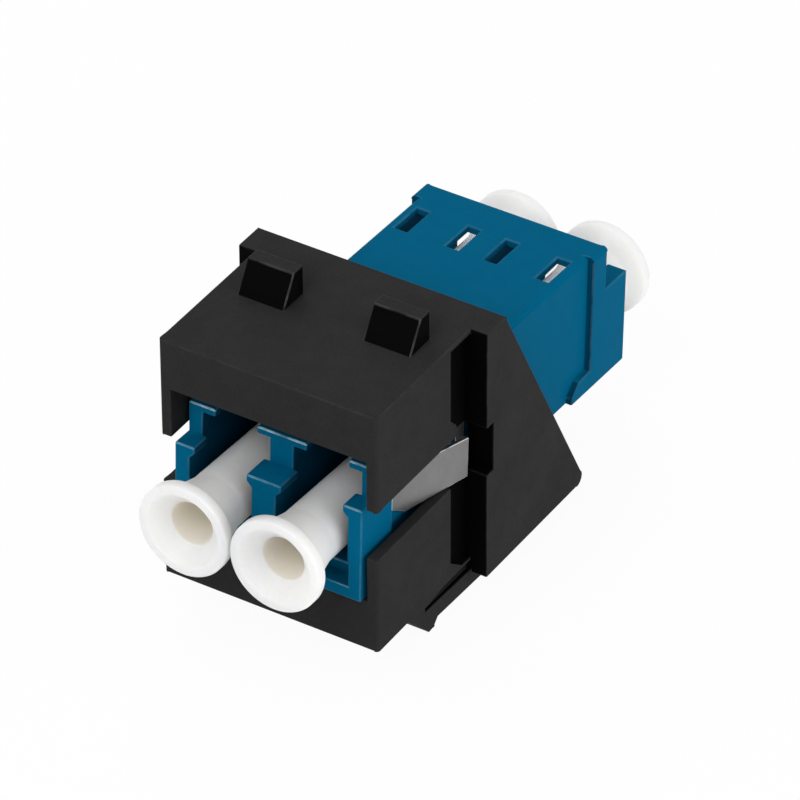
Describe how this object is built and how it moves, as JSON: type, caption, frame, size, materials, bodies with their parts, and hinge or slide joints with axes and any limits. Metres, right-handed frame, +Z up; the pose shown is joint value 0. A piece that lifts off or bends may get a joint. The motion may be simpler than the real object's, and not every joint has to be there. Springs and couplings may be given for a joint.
{
  "type": "lc fibre adapter",
  "caption": "Snap-in panel housing with a duplex fibre coupler inside: latch arm below, fixed teeth on top, spring clip, ports at both ends closed by dust caps.",
  "frame": {"origin": "middle of the panel cut-out, on the flange's front face", "axes": "+Y from the hooded front through the panel to the rear, +Z up towards the fixed teeth, +X across the two ports"},
  "size_m": [0.017, 0.0377, 0.0215],
  "materials": {
    "black_plastic": "matt",
    "blue_plastic": "satin",
    "spring_steel": "satin",
    "ceramic": "ground",
    "cap_plastic": "satin"
  },
  "bodies": {
    "adapter": {"snap_in_housing": "black_plastic", "adapter_front_half": "blue_plastic", "adapter_rear_half": "blue_plastic", "spring_clip": "spring_steel", "split_sleeve_left": "ceramic", "split_sleeve_right": "ceramic"},
    "front_left_cap": {"front_dust_cap_left": "cap_plastic"},
    "front_right_cap": {"front_dust_cap_right": "cap_plastic"},
    "rear_left_cap": {"rear_dust_cap_left": "cap_plastic"},
    "rear_right_cap": {"rear_dust_cap_right": "cap_plastic"}
  },
  "joints": [
    {"name": "front_left_cap_pull", "type": "slide", "parent": "adapter", "child": "front_left_cap", "axis": [0, -0.9991, 0.0419], "range_m": [0, 0.012]},
    {"name": "front_right_cap_pull", "type": "slide", "parent": "adapter", "child": "front_right_cap", "axis": [0, -0.9991, 0.0419], "range_m": [0, 0.012]},
    {"name": "rear_left_cap_pull", "type": "slide", "parent": "adapter", "child": "rear_left_cap", "axis": [0, 0.9991, -0.0419], "range_m": [0, 0.012]},
    {"name": "rear_right_cap_pull", "type": "slide", "parent": "adapter", "child": "rear_right_cap", "axis": [0, 0.9991, -0.0419], "range_m": [0, 0.012]}
  ]
}
